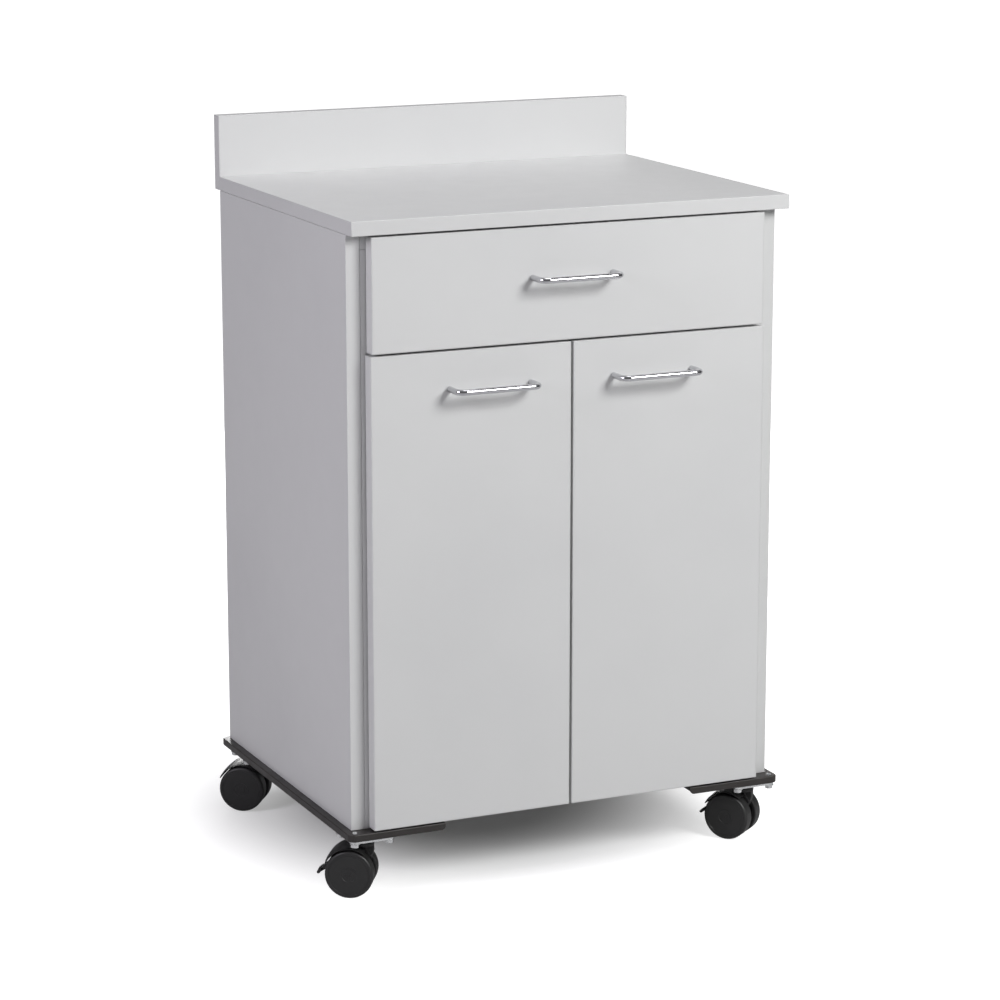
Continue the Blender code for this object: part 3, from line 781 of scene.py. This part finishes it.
def smooth_line(points, steps):
    """Catmull-Rom curve through 2-D points."""
    ends = [points[0]] + points + [points[-1]]
    line = []
    for p0, p1, p2, p3 in zip(ends, ends[1:], ends[2:], ends[3:]):
        for k in range(steps):
            t = k / steps
            line.append(tuple(
                0.5 * (2 * b + (c - a) * t + (2 * a - 5 * b + 4 * c - d) * t ** 2
                       + (3 * b - a - 3 * c + d) * t ** 3)
                for a, b, c, d in zip(p0, p1, p2, p3)))
    return line + [points[-1]]


def make_link(name, level, side, finish):
    """Cranked strap from the arm's nose, across the mouth of the cup and down into it."""
    node = "%s_%s_hinge_link" % (name, level)
    low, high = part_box(node)
    pivot = Vector(JOINTS[name + "_link_turn"]["pos_m"])
    bends = [(0.0, 0.0), (0.0065, 0.0001), (0.0125, -0.0005), (0.0160, -0.0035),
             (0.0193, -0.0092)]
    line = smooth_line(bends, 10)
    left, right = [], []
    half = 0.0008
    for k, (a, b) in enumerate(line):
        before, after = line[max(k - 1, 0)], line[min(k + 1, len(line) - 1)]
        along = Vector((after[0] - before[0], after[1] - before[1])).normalized()
        left.append((a - along.y * half, b + along.x * half))
        right.append((a + along.y * half, b - along.x * half))
    outline = [(pivot.x - side * a, pivot.y + b) for a, b in left + right[::-1]]
    shape = bmesh.new()
    add_prism(shape, outline, low.z, high.z)
    eye = bmesh.new()
    place = Matrix.Translation((pivot.x, pivot.y, low.z))
    height = high.z - low.z
    add_turned(eye, [(0, 0), (0, 0.0014), (0.0002, 0.0016), (height - 0.0002, 0.0016),
                     (height, 0.0014), (height, 0)], 24, place)
    shape = combine(shape, [eye], "UNION")
    piece(node + "_strap", shape, [finish["steel"]], name + "_hinge_links", [node])


def make_arm(name, level, side, finish, screws):
    """Winged mounting plate on the inner side, and the pressed arm that holds the pivot."""
    node = "%s_%s_hinge_arm" % (name, level)
    low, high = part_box(node)
    pivot = Vector(JOINTS[name + "_link_turn"]["pos_m"])
    wall = high.x if side > 0 else low.x
    z = (low.z + high.z) / 2
    front = low.y + 0.004

    def inside(distance):
        return wall - side * distance
    plate = bmesh.new()
    outline = [(front + 0.034 + a, z + b) for a, b in rounded_outline(0.0065, 0.0225, 0.0055)]
    verts = add_prism(plate, outline, inside(0), inside(0.0016), "X")
    spine = bmesh.new()
    add_round_box(spine, (inside(0), front + 0.006, z - 0.0048),
                  (inside(0.0044), high.y, z + 0.0048), 0.0004, 2)
    shape = combine(plate, [spine], "UNION")
    piece(node + "_plate", shape, [finish["steel"]], "cabinet", [node])
    arm = bmesh.new()
    cover = [(front + 0.016, 0.0086), (front + 0.019, 0.0100), (high.y - 0.004, 0.0100),
             (high.y - 0.001, 0.0086), (high.y - 0.001, 0.0040), (front + 0.016, 0.0040)]
    add_prism(arm, [(inside(depth), y) for y, depth in cover], z - 0.0068, z + 0.0068)
    channel = bmesh.new()
    add_box(channel, (inside(0.0088), front, z - 0.0053),
            (inside(0), high.y + 0.01, z + 0.0053))
    arm = combine(arm, [channel])
    cheeks = []
    eye_r = 0.0019
    for z_low, z_high in ((z - 0.0068, z - 0.0053), (z + 0.0053, z + 0.0068)):
        cheek = bmesh.new()
        outline = [(pivot.x + side * a, pivot.y + b)
                   for a, b in arc((0.0, 0.0), eye_r, 10, -190, 10)]
        outline += [(inside(0.0095), front + 0.017), (inside(0.0042), front + 0.020),
                    (inside(0.0010), front + 0.006)]
        add_prism(cheek, outline, z_low, z_high)
        cheeks.append(cheek)
    arm = combine(arm, cheeks, "UNION")
    add_rod(arm, 0, 0.0156, 0.0013, 20, Matrix.Translation((pivot.x, pivot.y, z - 0.0078)))
    piece(node + "_cover", arm, [finish["steel"]], "cabinet")
    wings = [facing((inside(0.0014), front + 0.034, z + up), (-side, 0, 0))
             for up in (-0.016, 0.016)]
    set_of(node + "_wing_screws", screws["flat"], wings, finish["zinc"])
    tops = [facing((inside(0.0100), y, z), (-side, 0, 0)) for y in (front + 0.026, front + 0.046)]
    set_of(node + "_adjusting_screws", screws["small"], tops, finish["zinc"])


# ---------------------------------------------------------------- base rails
def make_rail(name, side, finish, screws):
    """Folded rail: a flat top, lips all round but the inner edge, and round corners."""
    node = name + "_base_rail"
    low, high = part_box(node)
    outer, inner = (high.x, low.x) if side > 0 else (low.x, high.x)

    def outline(inset, corner, inner_x):
        reach = outer - side * inset
        front, rear = low.y + inset, high.y - inset
        turn = side * corner
        points = [(reach - turn + side * a, front + corner + b)
                  for a, b in arc((0, 0), corner, -90, 0, 10)]
        points += [(reach - turn + side * a, rear - corner + b)
                   for a, b in arc((0, 0), corner, 0, 90, 10)]
        return points + [(inner_x, rear), (inner_x, front)]
    shape = bmesh.new()
    verts = add_prism(shape, outline(0.0, RAIL_CORNER, inner), low.z, high.z)
    folded = edges_between(verts, lambda a, b: abs(a.z - b.z) < 1e-6
                           and abs(a.x - inner) + abs(b.x - inner) > 1e-6)
    round_edges(shape, folded, FOLD_R, 3)
    pocket = bmesh.new()
    add_prism(pocket, outline(RAIL_SHEET, RAIL_CORNER - RAIL_SHEET, inner - side * 0.01),
              low.z + RAIL_SHEET, high.z - RAIL_SHEET)
    cuts = [pocket]
    for y_low, y_high in ((low.y - 0.001, low.y + RAIL_SHEET + 0.0005),
                          (high.y - RAIL_SHEET - 0.0005, high.y + 0.001)):
        trim = bmesh.new()
        corner = [(inner + side * (LIP_CORNER - LIP_CORNER * math.sin(turn)),
                   low.z + LIP_CORNER - LIP_CORNER * math.cos(turn))
                  for turn in [math.radians(90 * k / 8) for k in range(9)]]
        corner += [(inner - side * 0.001, low.z + LIP_CORNER), (inner - side * 0.001, low.z - 0.001),
                   (inner + side * LIP_CORNER, low.z - 0.001)]
        add_prism(trim, corner, y_low, y_high, "Y")
        cuts.append(trim)
    floor_cut = bmesh.new()
    add_box(floor_cut, (inner - side * 0.001, low.y + RAIL_SHEET, low.z - 0.001),
            (inner + side * LIP_CORNER, high.y - RAIL_SHEET, low.z + RAIL_SHEET + 0.001))
    cuts.append(floor_cut)
    shape = combine(shape, cuts)
    piece(node + "_folded", shape, [finish["black_steel"]], "cabinet", [node])
    middle_x = (outer + inner) / 2 + side * 0.018
    places = [facing((middle_x, low.y + share * (high.y - low.y), low.z), (0, 0, -1))
              for share in (0.36, 0.5, 0.64)]
    set_of(name + "_rail_screws", screws["pan"], places, finish["zinc"])


# ---------------------------------------------------------------- casters
def caster_place(name):
    """Local frame of a caster: origin on the floor below the swivel axis, +X along the trail."""
    swivel = Vector(JOINTS[name + "_swivel_turn"]["pos_m"])
    axle = Vector(JOINTS[name + "_wheel_roll"]["pos_m"])
    turn = math.atan2(axle.y - swivel.y, axle.x - swivel.x)
    return Matrix.Translation((swivel.x, swivel.y, 0.0)) @ Matrix.Rotation(turn, 4, "Z")


def make_caster(name, finish, screws):
    place = caster_place(name)
    swivel = place.translation
    axle = place.inverted() @ Vector(JOINTS[name + "_wheel_roll"]["pos_m"])
    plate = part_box(name + "_caster_plate")
    make_plate(name, swivel, plate, finish, screws)
    make_hood(name, place, axle, plate, finish)
    for label, hand in (("outer", 1), ("inner", -1)):
        make_wheel("%s_%s_wheel" % (name, label), name + "_wheels", hand, place, axle, finish)
    frame["nodes"][name + "_axle"].data.materials[0] = finish["steel"]
    if name + "_brake_lever" in frame["nodes"]:
        make_lever(name, place, finish)


def make_plate(name, swivel, plate, finish, screws):
    """Zinc plate with a pressed raceway, four bolts, and their ends where the rail shows."""
    low, high = plate
    thickness = 0.003
    bottom = high.z - thickness
    shape = bmesh.new()
    outline = [(swivel.x + a, swivel.y + b) for a, b in rounded_outline(0.030, 0.030, 0.006, 8)]
    add_soft_prism(shape, outline, bottom, high.z, "Z", 0.0005)
    dome = bmesh.new()
    rise = bottom - low.z
    add_turned(dome, [(bottom + 0.001, 0), (bottom + 0.001, 0.0195), (bottom, 0.0205),
                      (bottom - rise * 0.25, 0.0200), (bottom - rise * 0.45, 0.0180),
                      (bottom - rise * 0.62, 0.0176), (bottom - rise * 0.85, 0.0160),
                      (low.z, 0.0140), (low.z, 0)], 48,
               Matrix.Translation((swivel.x, swivel.y, 0)))
    shape = combine(shape, [dome], "UNION")
    piece(name + "_pressed_plate", shape, [finish["zinc"]], "cabinet",
          [name + "_caster_plate"])
    bolts = [(swivel.x + a * BOLT_HALF, swivel.y + b * BOLT_HALF)
             for a in (-1, 1) for b in (-1, 1)]
    set_of(name + "_bolts", screws["hex"], [facing((x, y, bottom), (0, 0, -1)) for x, y in bolts],
           finish["zinc"])
    case_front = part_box("bottom_panel")[0].y
    rail_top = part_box("left_base_rail")[1].z
    shown = [(x, y) for x, y in bolts if y < case_front]
    if shown:
        set_of(name + "_bolt_ends", screws["end"],
               [facing((x, y, rail_top), (0, 0, 1)) for x, y in shown], finish["zinc"])


def add_swept_band(shape, centre, section, start_deg, end_deg, steps):
    """Sweep a closed (radius, y) section round an axle, with capped ends."""
    rings = []
    for k in range(steps + 1):
        turn = math.radians(start_deg + (end_deg - start_deg) * k / steps)
        rings.append([shape.verts.new((centre[0] + r * math.cos(turn), y,
                                       centre[1] + r * math.sin(turn))) for r, y in section])
    skin(shape, rings)


def make_hood(name, place, axle, plate, finish):
    """Neck, spine between the wheels and a crowned fender over them, moulded in one."""
    wheel_r = axle.z
    centre = (axle.x, axle.z)
    half_spine = 0.0060
    inner, outer = wheel_r + 0.0018, wheel_r + 0.0043
    half_fender = 0.0240
    spine = arc(centre, outer - 0.0004, 60, 131, 16)
    spine += [(-0.0100, 0.052), (-0.0030, 0.0405), (0.0035, 0.0325)]
    spine += arc(centre, 0.009, 205, 360, 14)
    shape = bmesh.new()
    add_soft_prism(shape, spine, -half_spine, half_spine, "Y", 0.0008)
    fender = bmesh.new()
    crown = [(outer - 0.0011 + 0.0011 * math.cos(0.5 * math.pi * y / half_fender), y)
             for y in [half_fender * k / 8 for k in range(-7, 8)]]
    rim = 0.0010
    section = [(outer - 0.0014, half_fender), (inner + rim, half_fender),
               (inner, half_fender - rim), (inner, -half_fender + rim),
               (inner + rim, -half_fender), (outer - 0.0014, -half_fender)]
    add_swept_band(fender, centre, crown + section, 26, 124, 28)
    neck = bmesh.new()
    top = plate[0].z - STAND
    add_turned(neck, [(0.050, 0), (0.050, 0.0055), (0.0645, 0.0055), (0.0668, 0.0116),
                      (0.0672, 0.0120), (top - 0.0030, 0.0120), (top - 0.0026, 0.0112),
                      (top - 0.0018, 0.0112), (top - 0.0014, 0.0124), (top, 0.0124), (top, 0)], 40)
    rib = bmesh.new()
    web = [(-0.0095, 0.0525), (-0.0118, 0.0600), (-0.0112, 0.0685), (0.0, 0.0685), (0.0, 0.0525)]
    add_soft_prism(rib, web, -0.0042, 0.0042, "Y", 0.0010)
    shape = combine(shape, [fender, neck, rib], "UNION")
    bore = bmesh.new()
    axle_place = Matrix.Translation((axle.x, 0, axle.z)) @ Matrix.Rotation(math.pi / 2, 4, "X")
    add_rod(bore, -0.02, 0.02, 0.0043, 24, axle_place)
    shape = moved(combine(shape, [bore]), place)
    piece(name + "_moulded_hood", shape, [finish["black_nylon"]], name + "_swivel",
          [name + "_hood"])


def make_wheel(node, body, hand, place, axle, finish):
    """Moulded wheel: crowned tread, smooth round-edged disc with a hub ring and key square."""
    low_y, high_y = 0.0068, 0.0245
    tread_r = axle.z
    edge = WHEEL_ROUND
    profile = [(low_y, 0.0043), (low_y, 0.0090), (low_y + 0.003, 0.0100),
               (low_y + 0.003, 0.0255), (low_y, 0.0270), (low_y, tread_r - 0.0016)]
    profile += [(low_y + 0.0016 - 0.0016 * math.cos(turn), tread_r - 0.0016 + 0.0016 * math.sin(turn))
                for turn in (0.4, 0.8, 1.2, math.pi / 2)]
    profile += [(high_y - edge + edge * math.sin(turn), tread_r - edge + edge * math.cos(turn))
                for turn in [math.pi / 2 * k / 7 for k in range(8)]]
    groove = 0.0262
    profile += [(high_y, groove + 0.0008), (high_y - 0.0004, groove + 0.0005),
                (high_y - 0.0004, groove), (high_y - 0.0001, groove - 0.0004),
                (high_y - 0.0003, 0.0108), (high_y, 0.0104), (high_y, 0.0096),
                (high_y - 0.0004, 0.0092), (high_y - 0.0004, 0)]
    bore_end = high_y - 0.004
    shape = bmesh.new()
    turn = Matrix.Rotation(-hand * math.pi / 2, 4, "X")
    local = Matrix.Translation((axle.x, 0, axle.z)) @ turn
    add_turned(shape, [(bore_end, 0), (bore_end, 0.0043), *profile], 72, local)
    square = bmesh.new()
    verts = add_prism(square, rounded_outline(0.0048, 0.0048, 0.0010, 3), high_y - 0.0008,
                      high_y - 0.00005)
    top = high_y - 0.00005
    round_edges(square, edges_between(verts, lambda a, b: min(a.z, b.z) > top - 1e-6), 0.0003, 2)
    bars = []
    for level in (-0.0020, 0.0, 0.0020):
        bar = bmesh.new()
        add_box(bar, (-0.0034, level - 0.0004, high_y - 0.0003), (0.0034, level + 0.0004, high_y))
        bars.append(bar)
    square = moved(combine(square, bars), local)
    shape = combine(shape, [square], "UNION")
    piece(node + "_moulded", moved(shape, place), [finish["wheel_nylon"]], body,
          [node])


def make_lever(name, place, finish):
    """Brake pedal: an eye between the wheels and a ribbed blade below the fender."""
    node = name + "_brake_lever"
    pivot = place.inverted() @ Vector(JOINTS[name + "_brake"]["pos_m"])
    blade = arc((0.0, 0.0), 0.004, 70, 250, 12)
    blade += [(0.0172, -0.0147), (0.0180, -0.0151), (0.0196, -0.0151), (0.0206, -0.0140),
              (0.0208, -0.0127)]
    shape = bmesh.new()
    add_soft_prism(shape, blade, -0.0055, 0.0055, "Y", 0.0006)
    pad = bmesh.new()
    outline = [(0.0140, -0.0112), (0.0172, -0.0147), (0.0180, -0.0151), (0.0196, -0.0151),
               (0.0206, -0.0140), (0.0208, -0.0127), (0.0150, -0.0078)]
    add_soft_prism(pad, outline, -0.011, 0.011, "Y", 0.0010, 3)
    shape = combine(shape, [pad], "UNION")
    slope = Vector((0.0208 - 0.0150, 0, -0.0127 + 0.0078))
    grips = []
    for share in (0.25, 0.5, 0.75):
        at = Vector((0.0150, 0, -0.0078)) + slope * share
        grip = bmesh.new()
        add_rod(grip, -0.0085, 0.0085, 0.0004, 12, facing(at, (0, 1, 0)))
        grips.append(grip)
    shape = combine(shape, grips, "UNION")
    moved(shape, place @ Matrix.Translation(pivot))
    piece(node + "_moulded", shape, [finish["black_nylon"]], name + "_lever",
          [node])


# ---------------------------------------------------------------- studio
def painted_shadow_glow(tree):
    """Glow that only the camera sees: none below the cabinet and full away from it.

    It is painted light that makes the paper read as white without lighting the cabinet. The
    dark patch that it leaves is painted shadow, added to the cabinet's own cast shadow.
    """
    half = (CAD_BOX[1] - CAD_BOX[0]) / 2
    place = add_node(tree, "ShaderNodeTexCoord")
    mapping = add_node(tree, "ShaderNodeMapping",
                       {"Location": (0.0, -GLOW_BACK, 0.0),
                        "Scale": (1 / half.x, GLOW_DEPTH / half.y, 1.0)})
    length = add_node(tree, "ShaderNodeVectorMath")
    length.operation = "LENGTH"
    glow = add_node(tree, "ShaderNodeMapRange", {"From Min": GLOW_FROM, "From Max": GLOW_TO,
                                                 "To Min": 0.0, "To Max": GLOW})
    glow.interpolation_type = "SMOOTHSTEP"
    tree.links.new(place.outputs["Object"], mapping.inputs["Vector"])
    tree.links.new(mapping.outputs["Vector"], length.inputs[0])
    tree.links.new(length.outputs["Value"], glow.inputs["Value"])
    path = add_node(tree, "ShaderNodeLightPath")
    shown = add_node(tree, "ShaderNodeMath")
    shown.operation = "MULTIPLY"
    tree.links.new(glow.outputs["Result"], shown.inputs[0])
    tree.links.new(path.outputs["Is Camera Ray"], shown.inputs[1])
    return shown.outputs["Value"]


def make_floor():
    shape = bmesh.new()
    bmesh.ops.create_circle(shape, cap_ends=True, segments=96, radius=40.0)
    mesh = bpy.data.meshes.new("studio_floor")
    shape.to_mesh(mesh)
    shape.free()
    paper = new_material("white_paper", 0.9)
    tree = paper.node_tree
    shader = tree.nodes["Principled BSDF"]
    shader.inputs["Specular IOR Level"].default_value = 0.0
    tree.links.new(mixed(tree, noise(tree, 1.5), (0.52, 0.52, 0.52), (0.54, 0.54, 0.54)),
                   shader.inputs["Base Color"])
    # The emission is painted light on the floor, with a painted shadow left below the cabinet.
    shader.inputs["Emission Color"].default_value = (1, 1, 1, 1)
    tree.links.new(painted_shadow_glow(tree), shader.inputs["Emission Strength"])
    mesh.materials.append(paper)
    floor = link_object("studio_floor", mesh)
    floor.location.z = -0.0005


def aimed(name, data, at, direction):
    """A light or camera at a place, looking along a direction."""
    made = link_object(name, data)
    made.location = at
    made.rotation_mode = "QUATERNION"
    made.rotation_quaternion = direction.to_track_quat("-Z", "Y")
    return made


def make_light(name, at, target, size, power, color=(1, 1, 1)):
    light = bpy.data.lights.new(name, "AREA")
    light.shape = "RECTANGLE"
    light.size, light.size_y = size
    light.energy = power
    light.color = color
    aimed(name, light, at, target - Vector(at))


def make_world():
    """A studio that is bright overhead and dim at eye level, shown to the camera as white."""
    world = bpy.data.worlds.new("studio")
    world.use_nodes = True
    tree = world.node_tree
    tree.nodes.clear()
    output = add_node(tree, "ShaderNodeOutputWorld")
    shown = add_node(tree, "ShaderNodeBackground", {"Strength": 1.0, "Color": (1, 1, 1, 1)})
    lit = add_node(tree, "ShaderNodeBackground", {"Color": (0.985, 0.98, 1.0, 1)})
    direction = add_node(tree, "ShaderNodeTexCoord")
    height = add_node(tree, "ShaderNodeSeparateXYZ")
    ramp = add_node(tree, "ShaderNodeMapRange", {"From Min": 0.10, "From Max": 0.60,
                                                 "To Min": 0.075, "To Max": 0.26})
    ramp.interpolation_type = "SMOOTHSTEP"
    tree.links.new(direction.outputs["Generated"], height.inputs["Vector"])
    tree.links.new(height.outputs["Z"], ramp.inputs["Value"])
    tree.links.new(ramp.outputs["Result"], lit.inputs["Strength"])
    path = add_node(tree, "ShaderNodeLightPath")
    mix = add_node(tree, "ShaderNodeMixShader")
    tree.links.new(path.outputs["Is Camera Ray"], mix.inputs["Fac"])
    tree.links.new(lit.outputs["Background"], mix.inputs[1])
    tree.links.new(shown.outputs["Background"], mix.inputs[2])
    tree.links.new(mix.outputs["Shader"], output.inputs["Surface"])
    bpy.context.scene.world = world


def make_camera():
    """The view from the front left, a little above the worktop, through a long lens."""
    lens = bpy.data.cameras.new("camera")
    lens.lens = CAMERA_LENS
    lens.sensor_width = 36.0
    yaw, pitch = math.radians(CAMERA_YAW), math.radians(CAMERA_PITCH)
    look = Vector((math.sin(yaw) * math.cos(pitch), math.cos(yaw) * math.cos(pitch),
                   -math.sin(pitch)))
    bpy.context.scene.camera = aimed("camera", lens, CAMERA_AT, look)


def make_studio():
    make_floor()
    make_world()
    middle = (CAD_BOX[0] + CAD_BOX[1]) / 2
    make_light("overhead", (0.3, 0.0, 3.0), middle, (1.1, 1.1), 14)
    make_light("front_key", (1.3, -2.7, 2.3), middle + Vector((0, 0, 0.6)), (1.3, 1.1), 96)
    make_light("left_fill", (-3.0, -0.7, 2.0), middle + Vector((0, 0, 0.2)), (1.2, 1.2), 51,
               (0.95, 0.91, 1.0))
    make_light("rear_fill", (0.9, 2.6, 0.6), middle, (1.4, 0.8), 30)
    make_camera()
    bpy.context.scene.view_settings.view_transform = "Standard"


# ---------------------------------------------------------------- whole cabinet
def main():
    finish = make_materials()
    under_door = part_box("left_door")[0].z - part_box("left_base_rail")[1].z
    screws = {
        "pan": pan_head(0.0038, 0.0022),
        "pan_thin": pan_head(0.0042, 0.0013),
        "small": pan_head(0.0028, 0.0008),
        "flat": flat_head(0.0036),
        "hex": hex_head(0.010, 0.0042, 0.0066, 0.0012),
        "end": bolt_end(0.0030, under_door - BOLT_CLEAR),
    }
    make_case(finish)
    make_shelf_pins(finish)
    make_case_screws(finish, screws)
    make_drawer(finish, screws)
    make_pull("drawer_handle", "drawer", finish, screws, "drawer_front")
    for name, side in SIDES:
        make_slide(name, side, finish, screws)
        make_door(name, side, finish, screws)
        make_rail(name, side, finish, screws)
    for corner in ("front_left", "front_right", "rear_left", "rear_right"):
        make_caster(corner, finish, screws)
    for mesh in screws.values():
        bpy.data.meshes.remove(mesh)
    make_studio()


main()
